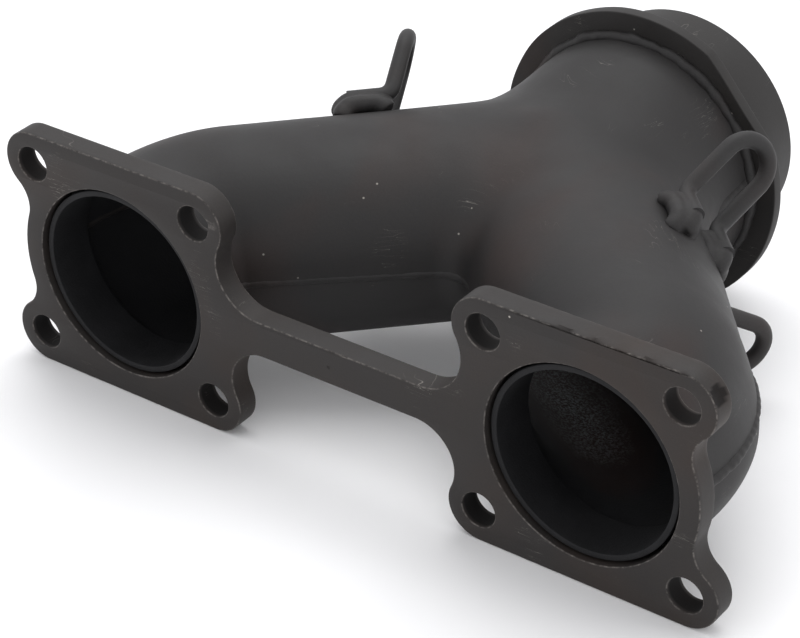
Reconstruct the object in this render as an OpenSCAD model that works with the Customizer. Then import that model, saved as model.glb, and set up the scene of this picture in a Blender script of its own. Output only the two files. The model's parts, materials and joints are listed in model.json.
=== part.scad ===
// Two-into-one exhaust manifold of a two-cylinder two-stroke engine.
// Millimetres. +X runs along the ports, +Y with the gas flow, +Z up.
// The origin is the middle of the bridge, on the face that meets the engine.

/* [Port flange] */
// Distance between the two port centres
port_spacing = 132; // [124:0.5:140]
// Thickness of the flange plate
flange_t = 6; // [5:0.5:8]
// Diameter of each gas port through the plate
port_d = 50.2; // [48:0.1:50.6]
// Diameter of the bolt holes, a clearance hole for M8
bolt_hole_d = 9; // [8.4:0.1:10]
// Diameter of the circle that carries the four bolt holes of one port
bolt_circle_d = 71.4; // [70:0.1:73]
// Angle of the upper bolt holes above the line of the ports
upper_bolt_angle = 45.25; // [44:0.25:47]
// Angle of the lower bolt holes below the line of the ports
lower_bolt_angle = 40.5; // [39:0.25:42]
// Radius of the ear round each bolt hole
ear_r = 8.4; // [8:0.1:8.8]
// Diameter of the disc of metal round each port
port_disc_d = 60.6; // [60:0.1:61.5]
// Radius of the hollow between an ear and the port disc
side_fillet_r = 8; // [7:0.25:9]
// Height of the bridge that joins the two halves
bridge_h = 9.4; // [8:0.2:11]
// Radius of the hollow between the bridge and an upper ear
upper_bridge_fillet_r = 11.5; // [11:0.25:12.5]
// Radius of the hollow between the bridge and a lower ear
lower_bridge_fillet_r = 10.5; // [10:0.25:11.5]
// Diameter of the punched centring mark on the bridge
punch_mark_d = 2; // [1:0.25:3]
// Distance of the punched mark from the middle of the bridge
punch_mark_x = -2.5; // [-6:0.5:6]

/* [Shells] */
// Outside diameter of the runners where they leave the flange
runner_d = 52; // [51:0.25:53]
// Thickness of the pressed sheet
sheet_t = 1.7; // [1.4:0.1:2]
// Length of the straight stretch behind the flange
runner_straight = 8; // [6:0.5:10]
// Radius of the runner's bend, at its middle line
bend_r = 28; // [27:0.5:31]
// Half the angle at which a runner widens after its bend, seen from above
flare_angle = 5.1; // [4.6:0.1:5.3]
// Half the height of a runner at the end of its bend
bend_half_h = 27; // [26:0.25:27.5]
// Half the height of the shells where the runners meet
meeting_half_h = 24.5; // [24:0.25:26]
// Outside diameter of the collector, where the runners have become one
collector_d = 68; // [67.8:0.1:69]

/* [Port sleeves] */
// Thickness of the sleeve's wall
sleeve_t = 1.5; // [1.2:0.1:2]
// Depth of the sleeve's end below the engine face
sleeve_recess = 1.3; // [0.8:0.1:2]

/* [Outlet] */
// Outside diameter of the spigot that the exhaust pipe slides over
spigot_d = 64; // [63:0.1:64.1]
// Thickness of the spigot's wall
spigot_t = 2; // [1.5:0.1:3]
// Distance of the outlet's middle below the ports' middle
outlet_drop = 4.5; // [3:0.25:6]
// Distance of the spigot's end from the engine face
spigot_end_y = 150.4; // [145:0.2:155]
// Length of the spigot inside the collector
spigot_overlap = 5; // [3:0.5:6]
// Height of the shoulder by which the spigot seats in the stop ring
spigot_step = 1; // [0.8:0.1:1.2]
// Outside diameter of the stop ring
ring_d = 82; // [80:0.5:86]
// Thickness of the stop ring
ring_t = 3.3; // [2.5:0.1:4]
// Distance of the stop ring's back face from the engine face
ring_back_y = 130; // [128:0.5:132]

/* [Spring hooks] */
// Diameter of the hook wire
wire_d = 4.2; // [3.8:0.1:4.6]
// Distance between the middles of a hook's two legs
hook_gap = 13.8; // [12.5:0.1:15]
// Distance of a hook along its runner, from the end of the bend
hook_station = 42; // [38:0.5:45]
// Angle of a hook round its runner, away from the joint line
hook_angle = 33.5; // [30:0.5:36]
// Angle at which a hook leans towards the outlet
hook_lean = 21; // [16:1:28]
// Length of a hook from its foot to the middle of its loop
hook_rise = 21.5; // [20:0.5:24]
// Length of the straight feet, which lie on the runner
foot_l = 9; // [8:0.5:11]
// Radius of the bend between a foot and its leg
foot_bend_r = 4; // [3:0.25:5]

/* [Welds] */
// Radius of the weld beads along the joint line of the shells
seam_weld_r = 2.1; // [2.1:0.1:2.4]
// Width of the weld between a runner and the flange
flange_weld_w = 3; // [2.5:0.25:3.5]
// Radius of the weld bead in front of the stop ring
ring_weld_r = 2.4; // [2:0.1:3]
// Radius of the weld mounds over the hooks' feet
foot_weld_r = 2.9; // [2.7:0.05:3.1]
// Length of those mounds
foot_weld_l = 7; // [5:0.5:8]

/* [Hidden] */

$fn = 96;
coating = "#383634";
weld_tone = "#2f2e2d";
inside_tone = "#4a4846";

port_x = port_spacing / 2;
runner_r = runner_d / 2;
collector_r = collector_d / 2;
spigot_r = spigot_d / 2;
spigot_seat_r = spigot_r - spigot_step;
// Depth of the shallow recess in the ring's back face that takes the shoulder.
spigot_seat_depth = 0.1;
wire_r = wire_d / 2;
bolt_circle_r = bolt_circle_d / 2;
port_disc_r = port_disc_d / 2;
half_bridge = bridge_h / 2;
ring_front_y = ring_back_y - ring_t;
punch_mark_depth = 0.6;

// The runners turn half of a right angle, and meet on the middle plane.
turn = 45;
bend_x = port_x - bend_r;
bend_y = flange_t + runner_straight;
flare_x = bend_x + bend_r * cos(turn);
flare_y = bend_y + bend_r * sin(turn);
meeting_y = flare_y + flare_x / tan(turn);
flare_l = flare_x / sin(turn);
flare_end_r = runner_r + flare_l * tan(flare_angle);
// Half height lost by a runner along its flare.
flare_h_loss = bend_half_h - meeting_half_h;
// Links and sides of the round stretches.
bend_steps = 6;
foot_bend_steps = 4;
loop_steps = 10;
rod_fn = 12;
shell_fn = 48;
thin = 0.01;
// The foot's end of its bend lies behind the hook's place, so that the leg rises from it.
foot_bend = 90 - hook_lean;
foot_bend_start = -foot_bend_r * tan(foot_bend / 2);
// A weld mound's middle lies below the foot's, so that the wire shows above it.
foot_weld_sink = 1.2;
foot_weld_inset = 1;
// How far a cutting body reaches past the face that it opens.
overcut = 2;
reach = 400;

// Middles of one port's bolt holes, measured from the port.
upper_hole = bolt_circle_r * [cos(upper_bolt_angle), sin(upper_bolt_angle)];
lower_hole = bolt_circle_r * [cos(lower_bolt_angle), -sin(lower_bolt_angle)];
port = [port_x, 0];
outer_upper = port + upper_hole;
outer_lower = port + lower_hole;
inner_upper = port + [-upper_hole[0], upper_hole[1]];
inner_lower = port + [-lower_hole[0], lower_hole[1]];

// Direction of the line from point a to point b.
function heading(a, b) = atan2(b[1] - a[1], b[0] - a[0]);

// Points of an arc of radius r about c, from angle from to angle to.
arc_steps = 10;
function arc(c, r, from, to) =
    [for (i = [0 : arc_steps]) let (a = from + (to - from) * i / arc_steps) c + r * [cos(a), sin(a)]];

// Middle of the hollow that touches a disc of radius ra about a and one of radius rb about b,
// on the side given by turned.
function hollow_middle(a, ra, b, rb, turned) =
    let (d = norm(b - a), near = (ra * ra - rb * rb + d * d) / (2 * d))
    let (off = sqrt(ra * ra - near * near), along = (b - a) / d)
    a + near * along + turned * off * [-along[1], along[0]];

// Middle of the hollow that touches an ear and the edge of the bridge.
function bridge_hollow(ear, r, side) =
    let (z = side * (half_bridge + r), reach_r = ear_r + r)
    [ear[0] - sqrt(pow(reach_r, 2) - pow(ear[1] - z, 2)), z];

upper_side_hollow = hollow_middle(
    port, port_disc_r + side_fillet_r, outer_upper, ear_r + side_fillet_r, -1);
lower_side_hollow = hollow_middle(
    port, port_disc_r + side_fillet_r, outer_lower, ear_r + side_fillet_r, 1);
upper_bridge_hollow = bridge_hollow(inner_upper, upper_bridge_fillet_r, 1);
lower_bridge_hollow = bridge_hollow(inner_lower, lower_bridge_fillet_r, -1);

// Right half of the plate's outline, from the bridge's lower edge round to its upper edge.
half_outline = concat(
    arc(lower_bridge_hollow, lower_bridge_fillet_r,
        90, heading(lower_bridge_hollow, inner_lower)),
    arc(inner_lower, ear_r, heading(inner_lower, lower_bridge_hollow), 270),
    arc(outer_lower, ear_r, -90, heading(outer_lower, lower_side_hollow)),
    arc(lower_side_hollow, side_fillet_r,
        360 + heading(lower_side_hollow, outer_lower), heading(lower_side_hollow, port)),
    arc(port, port_disc_r, heading(port, lower_side_hollow), heading(port, upper_side_hollow)),
    arc(upper_side_hollow, side_fillet_r,
        360 + heading(upper_side_hollow, port), heading(upper_side_hollow, outer_upper)),
    arc(outer_upper, ear_r, heading(outer_upper, upper_side_hollow), 90),
    arc(inner_upper, ear_r, 90, 360 + heading(inner_upper, upper_bridge_hollow)),
    arc(upper_bridge_hollow, upper_bridge_fillet_r,
        heading(upper_bridge_hollow, inner_upper), -90)
);

// The same points on the other side of the middle, in the order that closes the outline.
function mirrored(points) = [for (i = [len(points) - 1 : -1 : 0]) [-points[i][0], points[i][1]]];

// Puts a shape for the right side on the side named by side, -1 for the left.
module on_side(side) {
    mirror([side < 0 ? 1 : 0, 0, 0]) children();
}

// Lays a shape drawn along +Z so that it runs along +Y, with its foot at y.
module along_y(y) {
    translate([0, y, 0]) rotate([-90, 0, 0]) children();
}

// Round rod of radius r that follows points, laid as one short link after another.
module rod(points, r) {
    for (i = [1 : len(points) - 1]) hull() {
        translate(points[i - 1]) sphere(r = r, $fn = rod_fn);
        translate(points[i]) sphere(r = r, $fn = rod_fn);
    }
}

// Thin oval slice across the shells at a point of the joint plane, facing the angle facing.
module slice(x, y, facing, r, half_h, z = 0) {
    translate([x, y, z]) rotate([0, 0, facing]) along_y(0)
        scale([1, half_h / r, 1]) cylinder(r = r, h = thin, $fn = shell_fn);
}

module port_flange() {
    color(coating) difference() {
        rotate([90, 0, 0]) translate([0, 0, -flange_t]) linear_extrude(flange_t)
            polygon(concat(half_outline, mirrored(half_outline)));
        for (side = [-1, 1]) {
            translate([side * port_x, 0, 0])
                along_y(-overcut) cylinder(d = port_d, h = flange_t + 2 * overcut);
            for (hole = [outer_upper, outer_lower, inner_upper, inner_lower])
                translate([side * hole[0], 0, hole[1]])
                    along_y(-overcut) cylinder(d = bolt_hole_d, h = flange_t + 2 * overcut);
        }
        translate([punch_mark_x, 0, 0]) along_y(-overcut)
            cylinder(d = punch_mark_d, h = overcut + punch_mark_depth);
    }
}

// Right runner after its bend, which widens and flattens on its straight way to the middle.
module flare(inset) {
    hull() {
        slice(flare_x, flare_y, turn, runner_r - inset, bend_half_h - inset);
        slice(0, meeting_y, turn, flare_end_r - inset, meeting_half_h - inset);
    }
}

// Right half of the Y, made smaller by inset on every side.
// The ends reach past the faces where the shells are trimmed.
module y_half(inset) {
    r = runner_r - inset;
    bend_gain = (bend_half_h - runner_r) / bend_steps;
    intersection() {
        union() {
            hull() {
                slice(port_x, flange_t - overcut, 0, r, r);
                slice(port_x, bend_y, 0, r, r);
            }
            for (i = [1 : bend_steps]) let (a = turn * (i - 1) / bend_steps, b = turn * i / bend_steps)
                hull() {
                    slice(bend_x + bend_r * cos(a), bend_y + bend_r * sin(a), a, r,
                        r + bend_gain * (i - 1));
                    slice(bend_x + bend_r * cos(b), bend_y + bend_r * sin(b), b, r,
                        r + bend_gain * i);
                }
            flare(inset);
            hull() {
                slice(0, meeting_y - 2, 0, flare_end_r - inset, meeting_half_h - inset);
                slice(0, ring_front_y, 0, collector_r - inset, collector_r - inset, -outlet_drop);
            }
            translate([0, 0, -outlet_drop]) along_y(ring_front_y - overcut)
                cylinder(r = collector_r - inset, h = 2 * overcut, $fn = shell_fn);
        }
        translate([0, -reach / 2, -reach / 2]) cube(reach);
    }
}

// The whole Y, between the flange and the stop ring.
module y_body(inset) {
    for (side = [-1, 1]) on_side(side) y_half(inset);
}

// One pressed shell: side 1 is the upper one, side -1 the lower one.
module shell(side) {
    color(coating) intersection() {
        difference() {
            y_body(0);
            y_body(sheet_t);
        }
        translate([-reach / 2, -reach / 2, side > 0 ? 0 : -reach]) cube(reach);
        translate([-reach / 2, flange_t, -reach / 2])
            cube([reach, ring_front_y - flange_t, reach]);
    }
}

module upper_shell() {
    shell(1);
}

module lower_shell() {
    shell(-1);
}

module port_sleeve(side) {
    sleeve_r = runner_r - sheet_t;
    sleeve_l = bend_y - sleeve_recess;
    color(inside_tone) translate([side * port_x, 0, 0]) along_y(sleeve_recess)
        difference() {
            cylinder(r = sleeve_r, h = sleeve_l);
            translate([0, 0, -overcut])
                cylinder(r = sleeve_r - sleeve_t, h = sleeve_l + 2 * overcut);
        }
}

module outlet_spigot() {
    start_y = ring_front_y - spigot_overlap;
    color(coating) translate([0, 0, -outlet_drop]) difference() {
        union() {
            along_y(start_y) cylinder(r = spigot_seat_r, h = spigot_end_y - start_y);
            along_y(ring_back_y - spigot_seat_depth)
                cylinder(r = spigot_r, h = spigot_end_y - ring_back_y + spigot_seat_depth);
        }
        along_y(start_y - overcut)
            cylinder(r = spigot_r - spigot_t, h = spigot_end_y - start_y + 2 * overcut);
    }
}

module stop_ring() {
    color(coating) translate([0, 0, -outlet_drop]) along_y(ring_front_y) difference() {
        cylinder(d = ring_d, h = ring_t);
        translate([0, 0, -overcut]) cylinder(r = spigot_seat_r, h = ring_t + 2 * overcut);
        translate([0, 0, ring_t - spigot_seat_depth]) cylinder(r = spigot_r, h = overcut);
    }
}

// Moves a shape to a hook's place on the right runner. There x runs round the runner,
// y along it to the outlet, and z away from it, from the middle of the foot wire.
module at_hook(level) {
    half_w = runner_r + hook_station * tan(flare_angle);
    half_h = bend_half_h - hook_station / flare_l * flare_h_loss;
    skin_r = 1 / norm([cos(hook_angle) / half_w, sin(hook_angle) / half_h]);
    translate([flare_x, flare_y, 0]) rotate([0, 0, turn])
        translate([0, hook_station, 0]) rotate([0, 90 - level * hook_angle, 0])
            translate([0, 0, skin_r + wire_r]) children();
}

// Middle line of a hook's wire: foot, bend, leg, half a loop, and the same back again.
function lean(across, up) = [across, up * sin(hook_lean), up * cos(hook_lean)];
leg_half = hook_gap / 2;
loop_up = hook_rise - leg_half;
one_leg = concat(
    [[leg_half, foot_bend_start - foot_l, 0]],
    [for (i = [0 : foot_bend_steps]) let (a = foot_bend * i / foot_bend_steps)
        [leg_half, foot_bend_start + foot_bend_r * sin(a), foot_bend_r * (1 - cos(a))]]
);
loop = [for (i = [0 : loop_steps]) let (a = 180 * i / loop_steps)
    lean(leg_half * cos(a), loop_up + leg_half * sin(a))];
other_leg = [for (i = [len(one_leg) - 1 : -1 : 0]) [-one_leg[i][0], one_leg[i][1], one_leg[i][2]]];

module spring_hook(side, level) {
    color(coating) on_side(side) at_hook(level) rod(concat(one_leg, loop, other_leg), wire_r);
}

module hook_weld(side, level) {
    foot_end = foot_bend_start - foot_l;
    color(weld_tone) on_side(side) difference() {
        at_hook(level) for (leg = [-1, 1])
            translate([leg * leg_half, foot_end + foot_weld_inset, -foot_weld_sink])
                rotate([-90, 0, 0]) cylinder(r = foot_weld_r, h = foot_weld_l);
        flare(0);
        at_hook(level) for (leg = [-1, 1])
            translate([leg * leg_half, foot_end - overcut, 0])
                rotate([-90, 0, 0]) cylinder(r = wire_r, h = foot_l + overcut);
    }
}

module flange_weld(side) {
    color(weld_tone) translate([side * port_x, 0, 0]) along_y(flange_t) difference() {
        cylinder(r1 = runner_r + flange_weld_w, r2 = runner_r, h = flange_weld_w);
        translate([0, 0, -overcut]) cylinder(r = runner_r, h = flange_weld_w + 2 * overcut);
    }
}

// The seam beads lie on the shells' joint line and stop at the flange and at the ring.
module trimmed_seam() {
    color(weld_tone) difference() {
        children();
        y_body(0);
        translate([-reach / 2, flange_t - reach, -reach / 2]) cube(reach);
        translate([-reach / 2, ring_front_y, -reach / 2]) cube(reach);
    }
}

flare_dir = [-sin(turn), cos(turn)] + tan(flare_angle) * [cos(turn), sin(turn)];
outer_bend_end = [flare_x, flare_y] + runner_r * [cos(turn), sin(turn)];
outer_corner = outer_bend_end + flare_dir * (outer_bend_end[0] - collector_r) / -flare_dir[0];
inner_bend_end = [flare_x, flare_y] - runner_r * [cos(turn), sin(turn)];
crotch_dir = [-sin(turn), cos(turn)] - tan(flare_angle) * [cos(turn), sin(turn)];
crotch = inner_bend_end + crotch_dir * inner_bend_end[0] / -crotch_dir[0];

// Joint line along the side of the bend at the distance r from the bend's middle.
function bend_line(r) = [for (i = [0 : bend_steps]) let (a = turn * i / bend_steps)
    [bend_x + r * cos(a), bend_y + r * sin(a)]];
outer_line = concat([[port_x + runner_r, flange_t - overcut]], bend_line(bend_r + runner_r),
    [outer_corner, [collector_r, ring_front_y + overcut]]);
inner_side = concat([[port_x - runner_r, flange_t - overcut]], bend_line(bend_r - runner_r));
inner_line = concat(inner_side, [crotch], mirrored(inner_side));

module seam_weld(side) {
    trimmed_seam() rod([for (p = outer_line) [side * p[0], p[1], 0]], seam_weld_r);
}

module seam_weld_crotch() {
    trimmed_seam() rod([for (p = inner_line) [p[0], p[1], 0]], seam_weld_r);
}

module ring_weld() {
    color(weld_tone) difference() {
        translate([0, 0, -outlet_drop]) along_y(ring_front_y - ring_weld_r / 3)
            rotate_extrude($fn = shell_fn) translate([collector_r + ring_weld_r / 3, 0])
                circle(r = ring_weld_r, $fn = rod_fn);
        y_body(0);
        translate([-reach / 2, ring_front_y, -reach / 2]) cube(reach);
        for (side = [-1, 1]) seam_weld(side);
    }
}

port_flange();
upper_shell();
lower_shell();
port_sleeve(-1);  // port_sleeve_left
port_sleeve(1);  // port_sleeve_right
outlet_spigot();
stop_ring();
spring_hook(-1, 1);  // spring_hook_upper_left
spring_hook(1, 1);  // spring_hook_upper_right
spring_hook(-1, -1);  // spring_hook_lower_left
spring_hook(1, -1);  // spring_hook_lower_right
hook_weld(-1, 1);  // hook_weld_upper_left
hook_weld(1, 1);  // hook_weld_upper_right
hook_weld(-1, -1);  // hook_weld_lower_left
hook_weld(1, -1);  // hook_weld_lower_right
flange_weld(-1);  // flange_weld_left
flange_weld(1);  // flange_weld_right
seam_weld(-1);  // seam_weld_left
seam_weld(1);  // seam_weld_right
seam_weld_crotch();
ring_weld();
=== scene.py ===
# %% [markdown]
# # Exhaust manifold of a two-cylinder two-stroke engine
# A flange plate joins two runners, pressed as an upper and a lower shell, that meet in one
# collector. A stop ring, a spigot and four spring hooks take the exhaust pipe. Everything is
# steel under a heat-resistant matt black coat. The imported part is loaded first: it fixes the
# frame, and each piece below takes the place of the plain solid that stands for it.

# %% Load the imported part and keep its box
import json
import math

import bmesh
import bpy
import numpy as np
from mathutils import Matrix, Vector

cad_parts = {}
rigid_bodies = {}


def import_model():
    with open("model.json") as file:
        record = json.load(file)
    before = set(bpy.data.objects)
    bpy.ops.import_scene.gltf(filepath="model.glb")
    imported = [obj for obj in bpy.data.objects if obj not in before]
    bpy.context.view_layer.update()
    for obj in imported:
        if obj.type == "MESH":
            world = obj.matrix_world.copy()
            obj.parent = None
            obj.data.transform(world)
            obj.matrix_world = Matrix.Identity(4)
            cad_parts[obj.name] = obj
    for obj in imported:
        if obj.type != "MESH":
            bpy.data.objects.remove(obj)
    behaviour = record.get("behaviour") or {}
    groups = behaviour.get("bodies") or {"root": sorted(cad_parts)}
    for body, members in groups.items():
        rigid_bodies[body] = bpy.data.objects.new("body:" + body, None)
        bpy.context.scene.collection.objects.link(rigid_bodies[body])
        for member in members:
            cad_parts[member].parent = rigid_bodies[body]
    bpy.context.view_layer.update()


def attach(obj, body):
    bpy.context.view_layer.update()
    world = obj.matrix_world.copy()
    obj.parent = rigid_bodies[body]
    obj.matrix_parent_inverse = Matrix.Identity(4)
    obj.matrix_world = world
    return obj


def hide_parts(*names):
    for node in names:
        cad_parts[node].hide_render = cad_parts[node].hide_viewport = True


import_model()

MM = 0.001
bpy.context.scene.view_settings.view_transform = "Standard"

# %% [markdown]
# ## Sizes
# The sizes are those of the part, in millimetres. Z is up, +Y runs with the gas flow, and the
# origin is the middle of the bridge on the engine face. Each shape is worked out in
# millimetres and is turned to metres when its mesh is made.

# %% Sizes of the part
PORT_X = 66.0
PLATE_T = 6.0
PORT_R = 25.1
BOLT_R = 4.5
BOLT_CIRCLE_R = 35.7
RUNNER_R = 26.0
SHEET_T = 1.7
BEND_R = 28.0
BEND_X = PORT_X - BEND_R
BEND_Y = 14.0
BEND_TURN = math.radians(45)
FLARE_X = BEND_X + BEND_R * math.cos(BEND_TURN)
FLARE_Y = BEND_Y + BEND_R * math.sin(BEND_TURN)
FLARE_L = FLARE_X / math.sin(BEND_TURN)
MEETING_Y = FLARE_Y + FLARE_X
SPREAD = math.tan(math.radians(5.1))
MEETING_W = RUNNER_R + FLARE_L * SPREAD
BEND_H = 27.0
MEETING_H = 24.5
COLLECTOR_R = 34.0
OUTLET_Z = -4.5
RING_Y = 126.7
RING_BACK_Y = 130.0
RING_R = 41.0
SPIGOT_R = 32.0
SPIGOT_END_Y = 150.4
WIRE_R = 2.1
EAR_R = 8.4
PAD_R = 30.3
BEND_L = 22.0
FLAT_R = 38.4
FLAT_ANGLE = math.radians(39)
SPIGOT_BORE_R = 30
SPIGOT_SEAT_R = 31
WELD_LINE_R = 34.1
print("runners meet at y", round(MEETING_Y, 1), "half width there", round(MEETING_W, 1))

# %% [markdown]
# ## Small helpers
# One function turns a colour picked in sRGB into the linear values that shaders use, and one
# adds a node with its settings and links. Every mesh passes through the same maker, which
# merges doubles, turns the faces outwards and keeps the object at the origin.


# %% Colour and node helpers
def linear(hex_colour):
    """Linear RGBA of an sRGB hex colour."""
    parts = [int(hex_colour[i : i + 2], 16) / 255 for i in (1, 3, 5)]
    return [v / 12.92 if v <= 0.04045 else ((v + 0.055) / 1.055) ** 2.4 for v in parts] + [1.0]


def add(tree, kind, inputs=(), **settings):
    """Adds a node. inputs pairs a socket with a value or with the socket that feeds it."""
    node = tree.nodes.new(kind)
    for name, value in settings.items():
        setattr(node, name, value)
    for key, value in dict(inputs).items():
        if isinstance(value, bpy.types.NodeSocket):
            tree.links.new(value, node.inputs[key])
        else:
            node.inputs[key].default_value = value
    return node


def blank(name):
    """A new material: itself, its tree, its shader, and the place on the object in metres."""
    material = bpy.data.materials.new(name)
    material.use_nodes = True
    tree = material.node_tree
    place = add(tree, "ShaderNodeTexCoord").outputs["Object"]
    return material, tree, tree.nodes["Principled BSDF"], place


print("black coat, linear:", [round(v, 4) for v in linear("#2b2a29")])


def show(data, name):
    """Puts a mesh, curve, lamp or camera into the scene as an object at the origin."""
    piece = bpy.data.objects.new(name, data)
    bpy.context.scene.collection.objects.link(piece)
    return piece


def plain(piece):
    """Turns an object with curves or modifiers into a plain mesh object of the same name."""
    name = piece.name
    graph = bpy.context.evaluated_depsgraph_get()
    mesh = bpy.data.meshes.new_from_object(piece.evaluated_get(graph), depsgraph=graph)
    mesh.transform(piece.matrix_world)
    bpy.data.objects.remove(piece)
    fresh = show(mesh, name)
    mesh.name = name
    return fresh


def filled(form, name):
    """A new mesh from a bmesh, which is then let go."""
    mesh = bpy.data.meshes.new(name)
    form.to_mesh(mesh)
    form.free()
    return mesh


def clean(piece, smooth_angle=40):
    """Merges doubles, turns faces outwards and smooths all but the sharp edges."""
    form = bmesh.new()
    form.from_mesh(piece.data)
    bmesh.ops.remove_doubles(form, verts=form.verts, dist=0.00001)
    bmesh.ops.recalc_face_normals(form, faces=form.faces)
    limit = math.radians(smooth_angle)
    for edge in form.edges:
        edge.smooth = len(edge.link_faces) == 2 and edge.calc_face_angle(0) < limit
    for face in form.faces:
        face.smooth = True
    form.to_mesh(piece.data)
    open_edges = sum(1 for edge in form.edges if len(edge.link_faces) != 2)
    form.free()
    print(piece.name, len(piece.data.polygons), "faces,", open_edges, "open edges")
    return piece


def mark(piece, label, amount):
    """Stores a number at each point, from amount(x, y, z) in mm, for the coat to read."""
    layer = piece.data.attributes.new(label, "FLOAT", "POINT")
    for i, vertex in enumerate(piece.data.vertices):
        layer.data[i].value = amount(*(vertex.co / MM))


# %% [markdown]
# ## The black coat
# The real finish is a heat-resistant matt black paint, sprayed on mild steel and baked. It
# scatters a little light and has a dull skin, so roughness is about 0.6 with the usual IOR of
# 1.5. Broad clouds of slightly warmer and cooler black come from handling and heat, a fine
# grain of about half a millimetre from the spray, and white dust specks and hair scratches
# from use. Where the coat is thin, on edges marked with the wear attribute, it turns grey.


# %% Material of the coated pieces
def sprayed_black(name, deep, pale, warm, specks=1.0, scratches=1.0, rub=1.0, grain=1.0):
    """Matt black stove paint. deep and pale are its clouds, warm its brown tint."""
    material, tree, skin, place = blank(name)
    # Clouds of 22 mm, and patches of heat tint of 45 mm.
    clouds = add(tree, "ShaderNodeTexNoise",
                 {"Vector": place, "Scale": 1 / 0.022, "Detail": 5.0,
                  "Roughness": 0.6}).outputs["Fac"]
    cloud_step = add(tree, "ShaderNodeMapRange",
                     {"Value": clouds, "From Min": 0.3, "From Max": 0.7}).outputs["Result"]
    base = add(tree, "ShaderNodeMix",
               {"Factor": cloud_step, 6: linear(deep), 7: linear(pale)},
               data_type="RGBA").outputs[2]
    heat = add(tree, "ShaderNodeTexNoise",
               {"Vector": place, "Scale": 1 / 0.045, "Detail": 3.0,
                "Distortion": 0.4}).outputs["Fac"]
    heat_step = add(tree, "ShaderNodeMapRange",
                    {"Value": heat, "From Min": 0.52, "From Max": 0.72,
                     "To Max": 0.55}).outputs["Result"]
    base = add(tree, "ShaderNodeMix",
               {"Factor": heat_step, 6: base, 7: linear(warm)}, data_type="RGBA").outputs[2]
    # Grain of the spray, 0.5 mm, drawn just coarse enough to show.
    spray = add(tree, "ShaderNodeTexNoise",
                {"Vector": place, "Scale": 1 / 0.0005, "Detail": 3.0,
                 "Roughness": 0.65}).outputs["Fac"]
    spray_tone = add(tree, "ShaderNodeMapRange",
                     {"Value": spray, "From Min": 0.25, "From Max": 0.75,
                      "To Min": 1 - 0.16 * grain, "To Max": 1 + 0.16 * grain}).outputs["Result"]
    base = add(tree, "ShaderNodeVectorMath",
               {0: base, "Scale": spray_tone}, operation="SCALE").outputs["Vector"]
    # Rubbed edges, broken up by a 1.6 mm noise.
    wear = add(tree, "ShaderNodeAttribute", attribute_name="wear").outputs["Fac"]
    broken = add(tree, "ShaderNodeTexNoise",
                 {"Vector": place, "Scale": 1 / 0.0016, "Detail": 4.0,
                  "Roughness": 0.7}).outputs["Fac"]
    rub_step = add(tree, "ShaderNodeMapRange",
                   {"Value": broken, "From Min": 0.42, "From Max": 0.62,
                    "To Max": 0.4 * rub}).outputs["Result"]
    rubbed = add(tree, "ShaderNodeMath", {0: wear, 1: rub_step}, operation="MULTIPLY").outputs[0]
    base = add(tree, "ShaderNodeMix",
               {"Factor": rubbed, 6: base, 7: linear("#8a8580")}, data_type="RGBA").outputs[2]
    # Painted shade: the walls of the bolt holes and the chip, marked by this attribute, are
    # darkened towards near-black to stand in for the shade inside them.
    soot = add(tree, "ShaderNodeAttribute", attribute_name="soot").outputs["Fac"]
    shade_weight = add(tree, "ShaderNodeMath", {0: soot, 1: 0.8}, operation="MULTIPLY").outputs[0]
    base = add(tree, "ShaderNodeMix",
               {"Factor": shade_weight, 6: base, 7: linear("#0b0a0a")}, data_type="RGBA").outputs[2]
    # Dust specks of 0.3 to 0.5 mm, one in three of the cells of a 7 mm net.
    net = add(tree, "ShaderNodeTexVoronoi", {"Vector": place, "Scale": 1 / 0.007})
    dot = add(tree, "ShaderNodeMapRange",
              {"Value": net.outputs["Distance"], "From Min": 0.026, "From Max": 0.045,
               "To Min": 1.0, "To Max": 0.0}).outputs["Result"]
    chance = add(tree, "ShaderNodeSeparateColor", {0: net.outputs["Color"]}).outputs[0]
    pick = add(tree, "ShaderNodeMath", {0: chance, 1: 0.7}, operation="GREATER_THAN").outputs[0]
    speck = add(tree, "ShaderNodeMath", {0: dot, 1: pick}, operation="MULTIPLY").outputs[0]
    speck = add(tree, "ShaderNodeMath",
                {0: speck, 1: 0.55 * specks}, operation="MULTIPLY").outputs[0]
    # Hair scratches: thin bands of a stretched noise, in 15 mm patches.
    turned = add(tree, "ShaderNodeMapping",
                 {"Vector": place, "Rotation": (0.3, 0.7, 0.9),
                  "Scale": (1.0, 1.0, 14.0)}).outputs["Vector"]
    streak = add(tree, "ShaderNodeTexNoise",
                 {"Vector": turned, "Scale": 1 / 0.012, "Detail": 2.0,
                  "Distortion": 0.3}).outputs["Fac"]
    off_line = add(tree, "ShaderNodeMath", {0: streak, 1: 0.5}, operation="SUBTRACT").outputs[0]
    off_line = add(tree, "ShaderNodeMath", {0: off_line}, operation="ABSOLUTE").outputs[0]
    line = add(tree, "ShaderNodeMapRange",
               {"Value": off_line, "From Min": 0.0, "From Max": 0.006, "To Min": 1.0,
                "To Max": 0.0}).outputs["Result"]
    patch = add(tree, "ShaderNodeTexNoise",
                {"Vector": place, "Scale": 1 / 0.015, "Detail": 2.0}).outputs["Fac"]
    patch_step = add(tree, "ShaderNodeMapRange",
                     {"Value": patch, "From Min": 0.6, "From Max": 0.7,
                      "To Max": 0.3 * scratches}).outputs["Result"]
    scratch = add(tree, "ShaderNodeMath",
                  {0: line, 1: patch_step}, operation="MULTIPLY").outputs[0]
    marks = add(tree, "ShaderNodeMath", {0: speck, 1: scratch}, operation="MAXIMUM").outputs[0]
    base = add(tree, "ShaderNodeMix",
               {"Factor": marks, 6: base, 7: linear("#b9b4ac")}, data_type="RGBA").outputs[2]
    tree.links.new(base, skin.inputs["Base Color"])
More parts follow.
